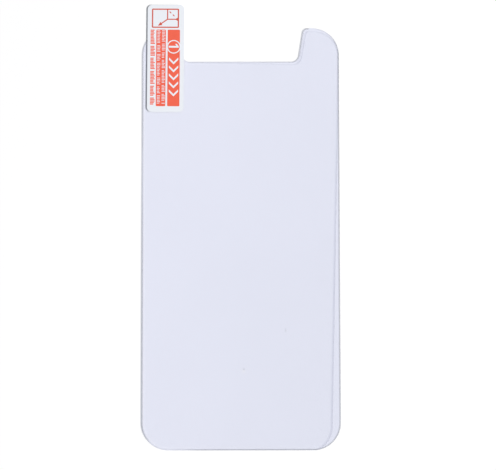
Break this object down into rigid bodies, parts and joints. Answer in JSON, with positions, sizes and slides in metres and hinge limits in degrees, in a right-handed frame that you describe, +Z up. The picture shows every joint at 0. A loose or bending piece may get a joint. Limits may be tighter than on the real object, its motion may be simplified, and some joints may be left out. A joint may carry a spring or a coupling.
{
  "type": "phone screen protector",
  "caption": "Flat notched tempered glass sheet with rounded corners, a clear release liner over its glued face and a printed pull tab, for covering a phone's screen.",
  "frame": {"origin": "middle of the glass's outer face, which lies on the surface", "axes": "+X to the right, +Y along the sheet to its notched end, +Z up from the outer face to the liner and the tab"},
  "size_m": [0.066, 0.1488, 0.0006],
  "materials": {
    "glass": "clear tempered glass with a faint lavender cast and a ground edge",
    "liner_film": "clear smooth film",
    "tab_label": "white film label, smooth",
    "red_ink": "printed orange-red ink"
  },
  "bodies": {
    "root": {"glass": "glass", "release_liner": "liner_film", "pull_tab": "tab_label", "tab_print": "red_ink"}
  },
  "joints": []
}
